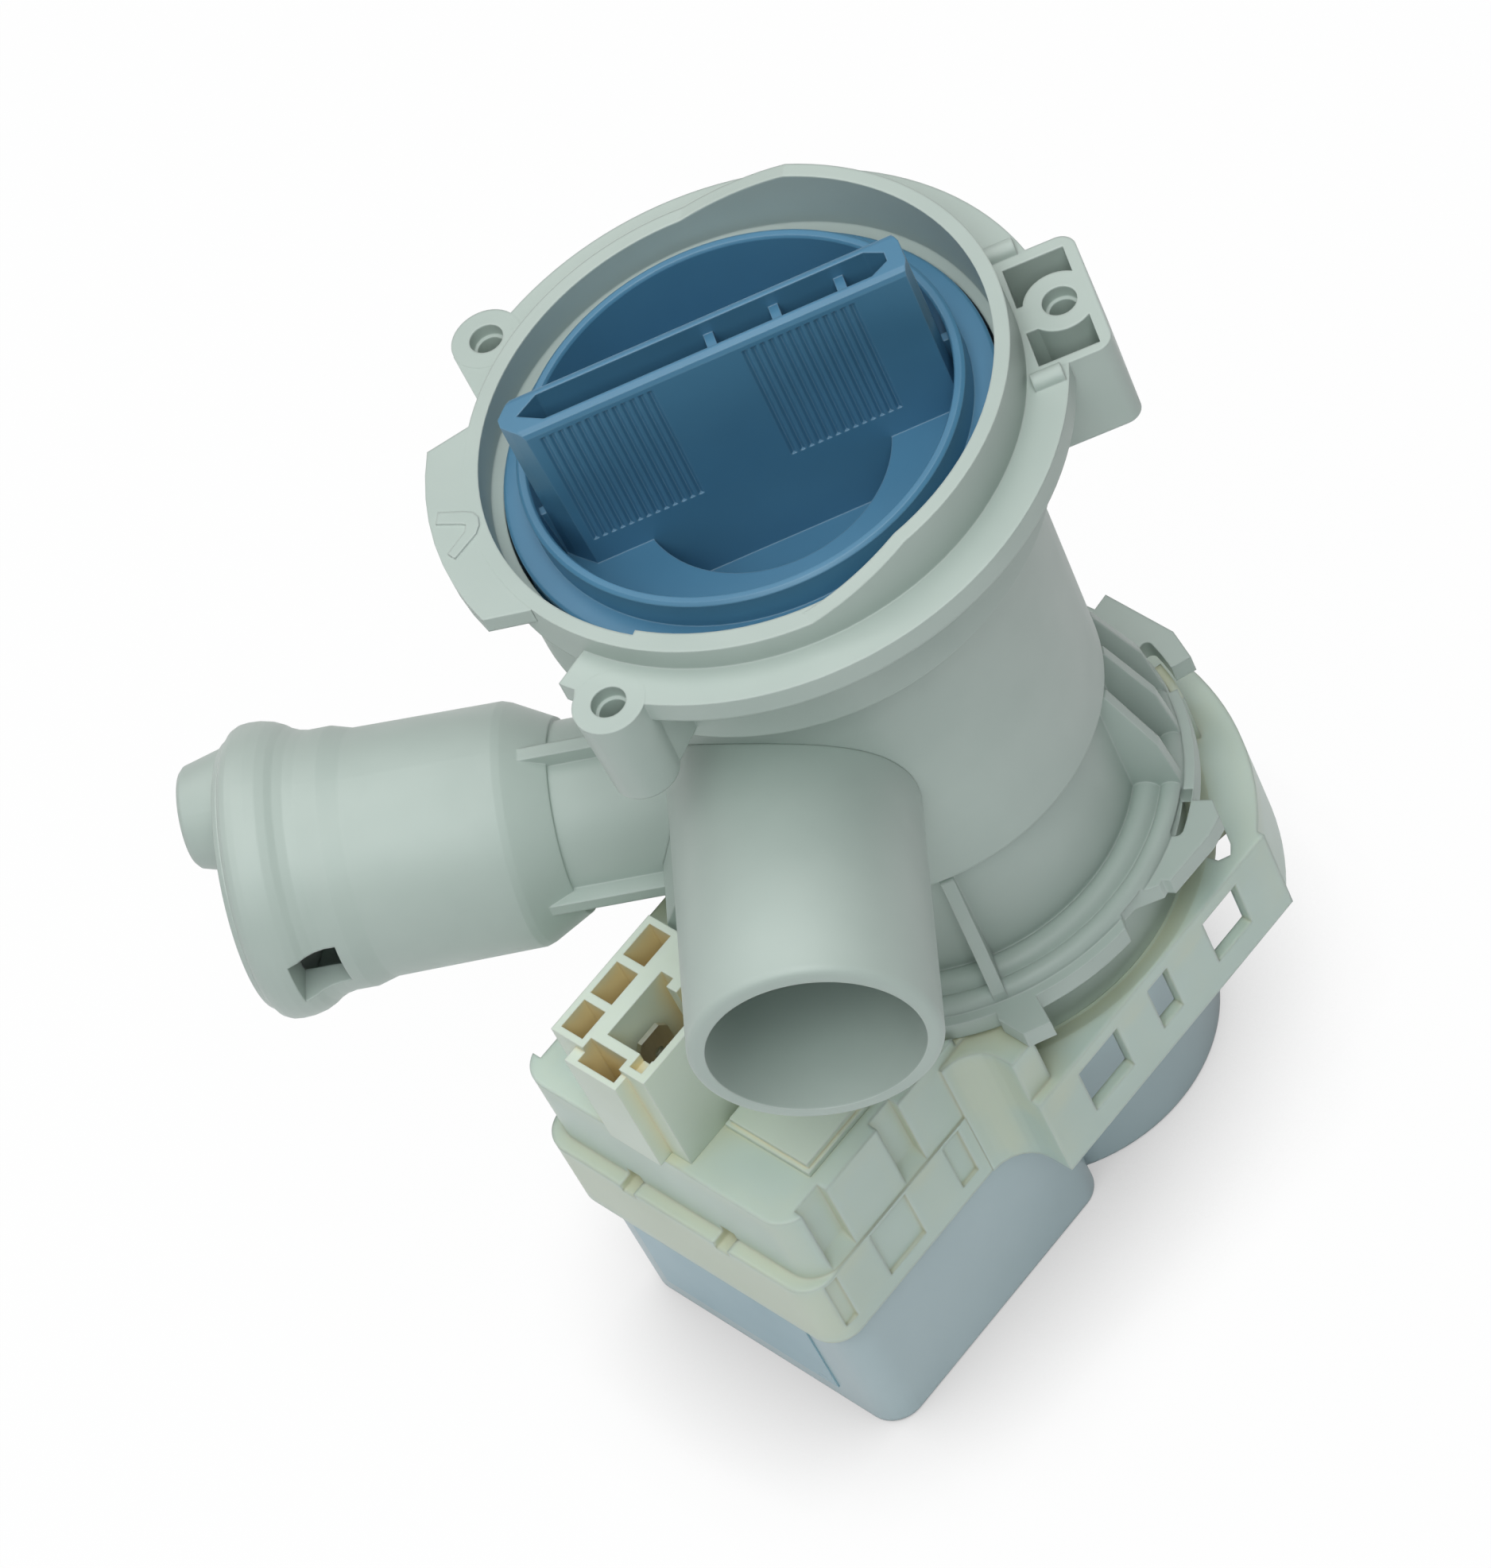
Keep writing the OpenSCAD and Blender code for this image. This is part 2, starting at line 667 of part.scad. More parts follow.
module grip_plan() {
    // The left end of the grip comes to a narrow ridge and the right end is blunt
    side = grip_t / 2 + 2;
    polygon([[-grip_half, -0.7], [-grip_half, 0.7], [-grip_half + 1, 2], [-grip_half + 4.4, side],
        [grip_half - 1.6, side], [grip_half - 0.5, grip_t / 2 - 0.6], [grip_half, grip_t / 2 - 2],
        [grip_half, -grip_t / 2 + 2], [grip_half - 0.5, -grip_t / 2 + 0.6], [grip_half - 1.6, -side],
        [-grip_half + 4.4, -side],
        [-grip_half + 1, -2]]);
}

module grip() {
    top = cup_floor_z + grip_h;
    half_foot = (grip_t + grip_draft) / 2;
    slope = (half_foot - grip_t / 2) / (grip_h - 1);
    root_z = cup_floor_z - recess_d - 1;
    root_half = half_foot + (recess_d + 1) * slope;
    slot_half = grip_t / 2 - 1.5;
    lean = atan(slope);
    rotate([0, 0, grip_turn]) difference() {
        union() {
            intersection() {
                rotate([90, 0, 90]) translate([0, 0, -40]) linear_extrude(height = 80)
                    polygon([[-root_half, root_z], [root_half, root_z],
                        [grip_t / 2, top - 1], [grip_t / 2 - 0.3, top - 0.3], [grip_t / 2 - 1, top],
                        [-grip_t / 2 + 1, top], [-grip_t / 2 + 0.3, top - 0.3], [-grip_t / 2, top - 1]]);
                translate([0, 0, root_z]) linear_extrude(height = top - root_z + 1) grip_plan();
            }
            // Thin webs tie the ends of the grip to the cup
            translate([-cup_r + 1, -0.7, cup_floor_z - 0.5]) cube([2 * cup_r - 2, 1.4, cup_depth - 2]);
        }
        // Hollow of the grip, with pointed ends and three cross ribs
        difference() {
            translate([0, 0, cup_floor_z + 6]) linear_extrude(height = grip_h)
                polygon([[-grip_half + 2.6, 0], [-grip_half + 6, slot_half], [grip_half - 5, slot_half],
                    [grip_half - 2.4, 0.8], [grip_half - 2.4, -0.8], [grip_half - 5, -slot_half],
                    [-grip_half + 6, -slot_half]]);
            for (x = [1, 10.5, 20])
                translate([x - 0.7, -grip_t, cup_floor_z]) cube([1.4, 2 * grip_t, grip_h - 2.4]);
        }
        // Below the floor of the cup the grip goes down only inside the recess
        translate([0, 0, root_z - 1]) ring(cup_r + 8, recess_r + 0.6, recess_d - 1.4);
        // Two groups of finger grooves on each side
        for (side = [0, 1]) mirror([0, side, 0])
            for (first = [-24.6, 4.8], i = [0:groove_count - 1])
                translate([first + i * groove_pitch, -half_foot, cup_floor_z]) rotate([-lean, 0, 0])
                    translate([0, 0, 4.6]) cylinder(r = groove_r, h = grip_h - 6.4, $fn = 4);
    }
}

groove_count = 13;
groove_pitch = 1.3;
groove_r = 0.45;

// Wall and floor of the well under the recess
well_t = 1.6;
well_r = recess_r + 1.2;

module filter_cap() {
    color(BLUE) {
        difference() {
            // Cup and plug, with the well of the recess below the plug
            rotate_extrude() polygon([
                [0, cup_floor_z - recess_d - well_t], [well_r, cup_floor_z - recess_d - well_t],
                [well_r, cap_bottom_z], [plug_r, cap_bottom_z], [plug_r, cap_bottom_z + 6.4],
                [plug_r - 1.6, cap_bottom_z + 7.4], [plug_r - 1.6, cap_flange_z - 2],
                [cap_flange_r, cap_flange_z - 1.6], [cap_flange_r, cap_flange_z - 0.3],
                [cap_flange_r - 0.4, cap_flange_z], [cup_r, cap_flange_z + 0.2],
                [cup_r, cup_rim_z - 0.4],
                [cup_r - 0.5, cup_rim_z], [cup_r - cup_wall + 0.3, cup_rim_z],
                [cup_r - cup_wall, cup_rim_z - 0.4], [cup_r - cup_wall - 0.8, cup_floor_z],
                [0, cup_floor_z]]);
            // Groove of the seal
            translate([0, 0, seal_z - seal_r - gap])
                ring(plug_r + 2, plug_r - 2 * seal_r - gap, 2 * seal_r + 2 * gap);
            // Round recess in the floor, open on both sides of the grip
            translate([0, 0, cup_floor_z - recess_d]) cylinder(r = recess_r, h = recess_d + 1);
        }
        grip();
    }
}

module cap_seal() {
    color(RUBBER) translate([0, 0, seal_z]) rotate_extrude()
        translate([plug_r + 0.05 - seal_r, 0]) circle(r = seal_r);
}

// The bars of the comb stand round the well of the cap
comb_r = well_r + gap + 1.7;

module filter_comb() {
    color(BLUE) {
        translate([0, 0, cap_bottom_z - 2]) difference() {
            cylinder(r = comb_r + 2, h = 2);
            translate([0, 0, -1]) cylinder(r = well_r + gap, h = 4);
        }
        for (i = [0:9]) rotate([0, 0, -54 + i * 32])
            translate([comb_r, 0, cap_bottom_z - comb_h]) cylinder(r = 1.6, h = comb_h - 1.5);
        translate([0, 0, cap_bottom_z - comb_h - 1]) ring(comb_r + 2, comb_r - 2, 2.2);
    }
}

// Rotor can, bearings and seals

can_bottom = rear_z - 1.6;
front_h = 6.2;

module rotor_can() {
    color(CREAM) difference() {
        union() {
            translate([0, 0, can_bottom]) cylinder(r = can_r, h = mouth_z - can_bottom + 1);
            translate([0, 0, mouth_z]) cylinder(r = mouth_in_r - gap, h = can_flange_t);
        }
        // Bore of the can, down to the pocket of the rear bearing
        translate([0, 0, magnet_z - 0.8]) cylinder(r = can_in_r, h = flange_z);
        translate([0, 0, rear_z]) cylinder(r = cushion_r + 0.05, h = flange_z);
        translate([0, 0, mouth_z + can_flange_t / 2 - 1.5]) ring(mouth_in_r + 2, mouth_in_r - 2.7, 3);
    }
}

module housing_seal() {
    color(RUBBER) translate([0, 0, mouth_z + can_flange_t / 2]) rotate_extrude()
        translate([mouth_in_r - 0.05 - 1.3, 0]) circle(r = 1.3);
}

module front_bearing() {
    color(RUBBER) translate([0, 0, front_z - front_h]) ring(bearing_r, shaft_r + run, front_h);
}

module front_cushion() {
    color(RUBBER) translate([0, 0, front_z - front_h]) ring(can_in_r - 0.05, bearing_r + 0.05, front_h);
}

module rear_bearing() {
    color(RUBBER) translate([0, 0, rear_z]) ring(bearing_r, shaft_r + run, front_h);
}

module rear_cushion() {
    color(RUBBER) translate([0, 0, rear_z]) ring(cushion_r, bearing_r + 0.05, front_h);
}

lip_seal_h = 3.6;

module shaft_seal() {
    color(RUBBER) translate([0, 0, front_z + 0.1]) difference() {
        ring(can_in_r - 0.05, shaft_r + 0.15, lip_seal_h);
        translate([0, 0, lip_seal_h / 3]) ring(can_in_r - 2, shaft_r + 1.6, lip_seal_h);
    }
}

module rotor_shaft() {
    color(STEEL) translate([0, 0, rear_z + 0.6])
        cylinder(r = shaft_r, h = impeller_z + vane_h + 0.6 - rear_z - 0.6);
}

module rotor_magnet() {
    color([0.22, 0.22, 0.23]) translate([0, 0, magnet_z]) ring(magnet_r, shaft_r + 0.02, magnet_h);
}

dog_h = 4;

module drive_dog() {
    color(CREAM) translate([0, 0, dog_z]) difference() {
        union() {
            cylinder(r = 3, h = dog_h);
            linear_extrude(height = dog_h) polygon(concat([[0, 0]], arc(0, 0, hub_r - 1.2, 25, 65, 6)));
        }
        translate([0, 0, -1]) cylinder(r = shaft_r + 0.02, h = dog_h + 2);
    }
}

// The hub is hollow below, so the impeller turns part of a turn before the dog drives it
module impeller() {
    color([0.85, 0.86, 0.84]) translate([0, 0, impeller_z]) difference() {
        union() {
            cylinder(r = impeller_r, h = 1.4);
            cylinder(r = hub_r + 1.2, h = vane_h);
            for (i = [0:vanes - 1]) rotate([0, 0, i * 360 / vanes])
                translate([hub_r, -1, 0]) cube([impeller_r - hub_r - 0.4, 2, vane_h]);
        }
        difference() {
            translate([0, 0, -1]) cylinder(r = hub_r - 0.8, h = dog_h + 1.4);
            translate([0, 0, -2]) linear_extrude(height = dog_h + 4)
                polygon(concat(arc(0, 0, 3.4, 20, -20, 4), arc(0, 0, hub_r, -20, 20, 6)));
        }
        translate([0, 0, -1]) cylinder(r = shaft_r + run, h = vane_h + 2);
    }
}

// Stator

arm_from = -13.5;
yoke_to = tuck_reach - shell - 0.5;
yoke_from = yoke_to - 8;
bobbin_from = 25.6;
bobbin_to = 53;

module stator_core() {
    color([0.5, 0.51, 0.53]) along_motor() translate([0, 0, stack_z]) difference() {
        union() {
            for (side = [-1, 1]) {
                translate([arm_from, side * arm_mid - arm_w / 2, 0])
                    cube([yoke_to - arm_from, arm_w, stack_h]);
                translate([arm_from, side * 10 - 7.6, 0]) cube([-2 * arm_from, 15.2, stack_h]);
            }
            translate([yoke_from, -arm_mid - arm_w / 2, 0])
                cube([yoke_to - yoke_from, 2 * arm_mid + arm_w, stack_h]);
        }
        translate([0, 0, -1]) cylinder(r = can_r + gap, h = stack_h + 2);
        translate([arm_from - 1, -2.4, -1]) cube([-2 * arm_from + 2, 4.8, stack_h + 2]);
    }
}

module sleeve(u0, u1, inner_w, inner_h, t) {
    difference() {
        translate([u0, -inner_w / 2 - t, -inner_h / 2 - t])
            cube([u1 - u0, inner_w + 2 * t, inner_h + 2 * t]);
        translate([u0 - 1, -inner_w / 2, -inner_h / 2]) cube([u1 - u0 + 2, inner_w, inner_h]);
    }
}

bobbin_w = arm_w + 0.3;
bobbin_h = stack_h + 0.3;

module bobbin(side) {
    color([0.9, 0.9, 0.86]) along_motor() translate([0, side * arm_mid, stack_mid]) {
        sleeve(bobbin_from, bobbin_to, bobbin_w, bobbin_h, 0.9);
        for (u = [bobbin_from, bobbin_to - 1.2])
            sleeve(u, u + 1.2, bobbin_w, bobbin_h, winding_t + 1.2);
    }
}

module winding(side) {
    color(COPPER) along_motor() translate([0, side * arm_mid, stack_mid])
        sleeve(bobbin_from + 1.3, bobbin_to - 1.3, bobbin_w + 1.9, bobbin_h + 1.9, winding_t - 0.1);
}

module bobbin_left() { bobbin(-1); }
module bobbin_right() { bobbin(1); }
module winding_left() { winding(-1); }
module winding_right() { winding(1); }

// Motor frame

module skirt_plan(inset) {
    intersection() {
        circle(r = skirt_r - inset);
        translate([-skirt_r, -skirt_half + inset]) square([skirt_r, 2 * skirt_half - 2 * inset]);
    }
    translate([skirt_from + inset, -skirt_half + inset])
        square([skirt_to - skirt_from - 2 * inset, 2 * skirt_half - 2 * inset]);
}

block_from = 23;
shoulder_half = 36.8;
throat_r = mouth_r + 3.4;

// The shoulders run down into the sides of the block with a hollow curve
hollow_r = 6.2;
hollow_mid = shoulder_half - 2.4;
shoulder_root = 20;

module shoulder_plan() {
    for (side = [0, 1]) mirror([0, side])
        polygon(concat([[block_from, shoulder_root], [block_from, shoulder_half], [skirt_to, shoulder_half]],
            arc(skirt_to + hollow_r, hollow_mid, hollow_r, 180, 270, 6),
            [[skirt_to + hollow_r, shoulder_root]]));
}

module motor_frame() {
    color(CREAM) along_motor() difference() {
        union() {
            // Skirt round the pump, closed on top by a shelf
            translate([0, 0, frame_z]) linear_extrude(height = skirt_h) skirt_plan(0);
            // Block over the coils, with a proud lower band
            translate([0, 0, frame_z]) plan_box(block_from, block_reach, block_half, corner_r, band_h);
            translate([0, 0, frame_z])
                plan_box(block_from, block_reach - band_out, block_half - 0.4, corner_r, block_h);
            translate([0, 0, frame_z]) linear_extrude(height = shoulder_h) shoulder_plan();
            // Catch that locks the bayonet
            rotate([0, 0, -motor_turn]) translate([0, 0, skirt_top - 1]) linear_extrude(height = 12.6)
                polygon(concat(arc(0, 0, catch_in_r, 16.4, 27.4, 4),
                    arc(0, 0, catch_out_r, 27.4, 16.4, 4)));
        }
        // Hollow under the shelf, deeper outside the seat of the pump mouth
        translate([0, 0, frame_z - 1]) linear_extrude(height = seat_z - frame_z + 1) skirt_plan(shell);
        translate([0, 0, frame_z - 1]) linear_extrude(height = skirt_top - shelf_t - frame_z + 1)
            difference() {
            skirt_plan(shell);
            circle(r = throat_r + 0.4);
            translate([block_from - 3, -skirt_half]) square([20, 2 * skirt_half]);
        }
        // Hollow over the coils, with a wall left round the pump mouth
        difference() {
            translate([0, 0, frame_z - 1])
                plan_box(block_from + shell, block_in_reach, block_in_half, corner_r - shell,
                    block_h + 1 - shell);
            translate([0, 0, seat_z]) cylinder(r = flange_r + 2, h = block_h);
            for (slot = SIDE_SLOTS, side = [-1, 1])
                translate([slot[0] - 1.2, side * block_in_half - 1.6, frame_z + 13.4])
                    cube([slot[1] + 2.4, 3.2, block_h]);
        }
        translate([block_from - 3, -block_in_half, frame_z - 1])
            cube([8, 2 * block_in_half, seat_z - frame_z + 1]);
        // Throat round the pump, with a dish that slopes down to the mouth
        translate([0, 0, mouth_z]) cylinder(r1 = mouth_r + 0.5, r2 = throat_r + 0.6, h = mouth_sink + 0.01);
        translate([0, 0, skirt_top - 0.2]) cylinder(r = throat_r, h = block_h);
        translate([0, 0, flange_z - gap]) cylinder(r = flange_r + 1, h = block_h);
        // Seat of the rotor can
        translate([0, 0, frame_z - 1]) cylinder(r = can_r + gap, h = skirt_h + 2);
        for (side = [0, 1]) mirror([0, side, 0]) {
            // Windows in the straight sides of the skirt, and a hole through the shelf
            for (window = [[-18, 8], [-1.4, 4.7], [10.5, 9.1]])
                translate([window[0], skirt_half - shell - 1, frame_z + 5.2])
                    cube([window[1], shell + 2, 10.2]);
            translate([0, 0, skirt_top - shelf_t - 1]) linear_extrude(height = shelf_t + 2)
                polygon([[-24.2, 31.9], [-22.2, 35], [-20.7, 36.2], [-19, 35.2], [-18.6, 33.2],
                [-21.4, 31.4]]);
            // Slots in the sides of the block, with sloping feet, and sunk panels in the band
            for (slot = SIDE_SLOTS) translate([slot[0], block_half - 0.4, frame_z + band_h + 0.2])
                rotate([90, 0, 90]) linear_extrude(height = slot[1])
                    polygon([[1, 0], [0, 0], [-1.8, 2.6], [-1.8, block_h], [1, block_h]]);
            for (panel = [[36, 3.6], [48.4, 8.2], [64.4, 2.4]])
                translate([panel[0], block_half - 0.7, frame_z + 3.2]) cube([panel[1], 2, 11.2]);
        }
        // Clip notches on the far face, and slots for the blades
        for (w = [-9.5, 9.7])
            translate([block_reach - 4, w - 1.4, frame_z + 13.6]) cube([6, 2.8, 3]);
        translate([0, 0, block_top - blade_tail - 0.5]) blade_slots();
    }
}

SIDE_SLOTS = [[42.4, 4.8], [58.8, 5.2]];

// Connector

// The socket stands round its blades
blade_mid = 57.6;
blade_tail = 5;
socket_to = blade_mid + 8.3;
socket_from_u = socket_to - socket_len;
blade_row = socket_mid + 3.1;

module connector_housing() {
    w0 = socket_mid - socket_w / 2;
    front_u = socket_to + 2.6;
    color([0.9, 0.89, 0.83]) along_motor() translate([0, 0, block_top]) difference() {
        union() {
            translate([socket_from_u, w0, 0]) cube([socket_len, socket_w, socket_h]);
            translate([socket_to - 1, w0 + 4.5, 0]) cube([front_u - socket_to + 1, 10.2, socket_h - 1.2]);
        }
        // Three keying pockets behind the socket
        for (pocket = [[1.1, 6], [8.5, 6], [15.9, 5.2]])
            translate([socket_from_u + pocket[0], w0 + 1.1, 6]) cube([pocket[1], 4.3, socket_h]);
        // Socket for the plug, with a key in its back wall
        difference() {
            translate([socket_to - 15.8, w0 + 8.2, 3]) cube([12.2, socket_w - 9.4, socket_h]);
            translate([socket_to - 16, w0 + 10.6, 2]) cube([1.8, 2, socket_h]);
        }
        // Front pocket, and the key slot in the front wall
        translate([socket_to - 1.9, w0 + 6.4, 7]) cube([front_u - 0.9 - socket_to + 1.9, 7.3, socket_h]);
        translate([socket_to - 4, w0 + 14.8, socket_h - 1.8]) cube([2.8, 2.4, 4]);
        translate([0, 0, -1]) blade_slots();
    }
}

module blade_slots() {
    for (side = [-0.5, 0.5])
        translate([blade_mid - blade_w / 2 - 0.1, blade_row + side * blade_pitch - blade_t / 2 - 0.1, 0])
            cube([blade_w + 0.2, blade_t + 0.2, blade_tail + 1]);
}

module blade_terminals() {
    color(STEEL) along_motor() for (side = [-0.5, 0.5])
        translate([blade_mid, blade_row + side * blade_pitch + blade_t / 2, block_top]) rotate([90, 0, 0])
            linear_extrude(height = blade_t) difference() {
                polygon([[-blade_w / 2, -blade_tail], [blade_w / 2, -blade_tail], [blade_w / 2, 15.4],
                [blade_w / 2 - 1.2, 17],
                    [-blade_w / 2 + 1.2, 17], [-blade_w / 2, 15.4]]);
                translate([0, 12.6]) circle(r = 0.9);
            }
}

lid_from = flange_r + 0.9;
lid_w0 = 7.6;

module connector_lid() {
    color([0.9, 0.89, 0.84]) along_motor() translate([lid_from, lid_w0, block_top]) {
        cube([lid_side, lid_side - 1.4, 1]);
        translate([0, 0.6, 1]) cube([lid_side - 0.7, lid_side - 2.6, 1]);
    }
}

// Stator cover

module stator_cover() {
    tuck_half = block_in_half - gap;
    post_h = stack_z - shell;
    color(COVER) along_motor() {
        difference() {
            union() {
                plan_box(cover_near, cover_reach, cover_half, corner_r, cover_h);
                translate([0, 0, 1])
                    plan_box(cover_near + 9, tuck_reach, tuck_half, corner_r - 1, cover_h + cover_tuck - 1);
                cylinder(r = cover_round, h = cover_h + cover_tuck);
            }
            translate([0, 0, shell]) {
                plan_box(cover_near + shell, tuck_reach - shell, tuck_half - shell, corner_r - shell, 60);
                cylinder(r = cover_round - shell, h = 60);
            }
        }
        // Posts that carry the laminations
        for (side = [-1, 1]) {
            translate([yoke_from + 1, side * arm_mid - 3, shell - 0.5]) cube([5, 6, post_h + 0.5]);
            translate([-3, side * 19 - 1.5, shell - 0.5]) cube([6, 3, post_h + 0.5]);
        }
    }
}

label_w = 36;
label_w0 = -20;
label_foot = 4;
label_t = 0.3;

module rating_plate() {
    color([0.62, 0.72, 0.78]) along_motor() translate([cover_reach, label_w0, label_foot])
        cube([label_t, label_w, cover_h - label_foot - 1]);
}

pump_housing();
filter_housing();
cap_housing();
inlet_stub();
outlet_duct();
outlet_branch();
outlet_spout();
check_flap();
flap_pin();
filter_cap();
cap_seal();
filter_comb();
housing_seal();
rotor_can();
front_bearing();
rear_bearing();
front_cushion();
rear_cushion();
rotor_shaft();
rotor_magnet();
drive_dog();
impeller();
shaft_seal();
stator_core();
bobbin_left();
bobbin_right();
winding_left();
winding_right();
motor_frame();
connector_housing();
blade_terminals();
connector_lid();
stator_cover();
rating_plate();
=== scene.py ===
"""Looks of a washer drain pump with its filter housing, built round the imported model."""

import json
import math

import bmesh
import bpy
from mathutils import Matrix, Vector

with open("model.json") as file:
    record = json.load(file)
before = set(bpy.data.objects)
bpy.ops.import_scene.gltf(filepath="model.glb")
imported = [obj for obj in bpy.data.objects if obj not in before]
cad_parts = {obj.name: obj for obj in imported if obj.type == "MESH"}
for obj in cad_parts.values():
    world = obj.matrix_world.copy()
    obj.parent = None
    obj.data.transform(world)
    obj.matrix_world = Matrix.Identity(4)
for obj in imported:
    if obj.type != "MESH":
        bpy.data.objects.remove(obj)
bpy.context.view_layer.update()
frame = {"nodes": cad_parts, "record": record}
MM = 0.001

# Camera, placed as the photograph's was

CAMERA_SPOT_MM = (165.69, -556.52, 797.09)
CAMERA_RIGHT = (0.95120051, -0.06556365, -0.30152778)
CAMERA_DOWN = (-0.23119328, -0.79860798, -0.55567523)
CAMERA_AHEAD = (-0.2043704, 0.59826976, -0.77479419)
CAMERA_LENS = 145.97


def place_camera():
    data = bpy.data.cameras.new("photo_camera")
    data.sensor_fit = "AUTO"
    data.sensor_width = 36.0
    data.lens = CAMERA_LENS
    data.clip_start = 0.05
    data.clip_end = 20.0
    camera = bpy.data.objects.new("photo_camera", data)
    bpy.context.scene.collection.objects.link(camera)
    turn = Matrix((CAMERA_RIGHT, [-v for v in CAMERA_DOWN], [-v for v in CAMERA_AHEAD])).transposed()
    camera.matrix_world = Matrix.Translation(Vector(CAMERA_SPOT_MM) * MM) @ turn.to_4x4()
    bpy.context.scene.camera = camera


place_camera()

# Colours and nodes


def colour(hex_text):
    """An sRGB hex value as linear red, green, blue and alpha."""
    channels = [int(hex_text[i:i + 2], 16) / 255 for i in (0, 2, 4)]
    return [c / 12.92 if c <= 0.04045 else ((c + 0.055) / 1.055) ** 2.4 for c in channels] + [1.0]


def add(tree, kind, settings=None, **inputs):
    """A node of that kind, its settings, and its inputs by name, each a value or another node's output."""
    made = tree.nodes.new("ShaderNode" + kind)
    for name, value in (settings or {}).items():
        setattr(made, name, value)
    for name, value in inputs.items():
        key = int(name[1:]) if name[0] == "i" and name[1:].isdigit() else name.replace("_", " ")
        socket = made.inputs[key]
        if isinstance(value, bpy.types.NodeSocket):
            tree.links.new(value, socket)
        else:
            socket.default_value = value
    return made


def new_material(name):
    material = bpy.data.materials.new(name)
    material.use_nodes = True
    material.node_tree.nodes.clear()
    return material, material.node_tree


def finish_material(tree, surface):
    out = add(tree, "OutputMaterial")
    tree.links.new(surface, out.inputs["Surface"])


# The tool's grain: how wide its bumps are, how high, and how strongly they show
GRAIN_MM = 1.05
GRAIN_HEIGHT_MM = 0.05
GRAIN_SHOWS = 0.05
# Width of the slow clouds in the tone of a moulding
CLOUD_MM = 26.0
# Walls thinner than this let light through, and pockets narrower than this get a painted shade at their bottoms
THIN_WALL_MM = 4.0
PAINTED_SHADE_POCKET_MM = 9.0
# How far light wanders inside a moulding that glows, and how much of each colour does
WANDER_MM = 1.6
WANDER_TINT = (1.0, 0.95, 0.7)
PLASTIC_IOR = 1.49
# How far the roughness of a moulding and of bare metal strays to either side
MOULDED_STRAY = (-0.04, 0.05)
METAL_STRAY = (-0.06, 0.08)


def moulded(name, body, shade, edge_highlight, roughness, edge_mm=0.5, thin=None, painted_pocket_shade=None, alone=True, glow=0.0):
    """Injection moulded plastic: a soft edge, a fine grain from the tool, and slow changes of tone.

    body is the colour, shade its tone where the melt ran darker, and the next colour a painted highlight
    on its rounded edges. thin tints walls that light comes through, and the pocket colour paints shade at
    the bottoms of narrow pockets, which its neighbours help to form unless it stands alone."""
    material, tree = new_material(name)
    place = add(tree, "TexCoord").outputs["Object"]
    cloud = add(tree, "TexNoise", Vector=place, Scale=1000.0 / CLOUD_MM, Detail=3.0, Roughness=0.55)
    tone = add(tree, "MapRange", Value=cloud.outputs["Fac"], From_Min=0.35, From_Max=0.68)
    base = add(tree, "Mix", {"data_type": "RGBA"}, Factor=tone.outputs["Result"], i6=colour(body),
               i7=colour(shade))
    soft = add(tree, "Bevel", {"samples": 8}, Radius=edge_mm * MM)
    flat = add(tree, "NewGeometry")
    lean = add(tree, "VectorMath", {"operation": "DOT_PRODUCT"}, i0=soft.outputs["Normal"],
               i1=flat.outputs["Normal"])
    # Painted highlight: edges lighten where the rounded normal bends away from the flat one
    edge_highlight_mask = add(tree, "MapRange", Value=lean.outputs["Value"], From_Min=0.995, From_Max=0.80)
    last = add(tree, "Mix", {"data_type": "RGBA"}, Factor=edge_highlight_mask.outputs["Result"], i6=base.outputs[2],
               i7=colour(edge_highlight))
    if thin:
        inside = add(tree, "AmbientOcclusion", {"samples": 6, "inside": True, "only_local": True},
                     Distance=THIN_WALL_MM * MM)
        through = add(tree, "MapRange", Value=inside.outputs["AO"], From_Min=0.2, From_Max=0.8, To_Max=0.55)
        last = add(tree, "Mix", {"data_type": "RGBA"}, Factor=through.outputs["Result"], i6=last.outputs[2],
                   i7=colour(thin))
    # Painted shade: the bottoms of narrow pockets get a warmer, darker tint
    if painted_pocket_shade:
        pocket_shade_occlusion = add(tree, "AmbientOcclusion", {"samples": 6, "only_local": alone}, Distance=PAINTED_SHADE_POCKET_MM * MM)
        pocket_shade_mask = add(tree, "MapRange", Value=pocket_shade_occlusion.outputs["AO"], From_Min=0.75, From_Max=0.25, To_Max=0.85)
        last = add(tree, "Mix", {"data_type": "RGBA"}, Factor=pocket_shade_mask.outputs["Result"], i6=last.outputs[2],
                   i7=colour(painted_pocket_shade))
    fine = add(tree, "TexNoise", Vector=place, Scale=1000.0 / GRAIN_MM, Detail=2.0, Roughness=0.6)
    bump = add(tree, "Bump", Height=fine.outputs["Fac"], Strength=GRAIN_SHOWS, Distance=GRAIN_HEIGHT_MM * MM,
               Normal=soft.outputs["Normal"])
    gloss = add(tree, "MapRange", Value=cloud.outputs["Fac"], From_Min=0.3, From_Max=0.7,
                To_Min=roughness + MOULDED_STRAY[0], To_Max=roughness + MOULDED_STRAY[1])
    skin = add(tree, "BsdfPrincipled", Base_Color=last.outputs[2], Roughness=gloss.outputs["Result"],
               Normal=bump.outputs["Normal"], IOR=PLASTIC_IOR)
    if glow:
        skin.inputs["Subsurface Weight"].default_value = glow
        skin.inputs["Subsurface Radius"].default_value = WANDER_TINT
        skin.inputs["Subsurface Scale"].default_value = WANDER_MM * MM
    finish_material(tree, skin.outputs["BSDF"])
    return material


# Brush lines of bare metal: their width, and how many there are in a metre along them
BRUSH_MM = 0.8
BRUSH_ALONG = 60.0


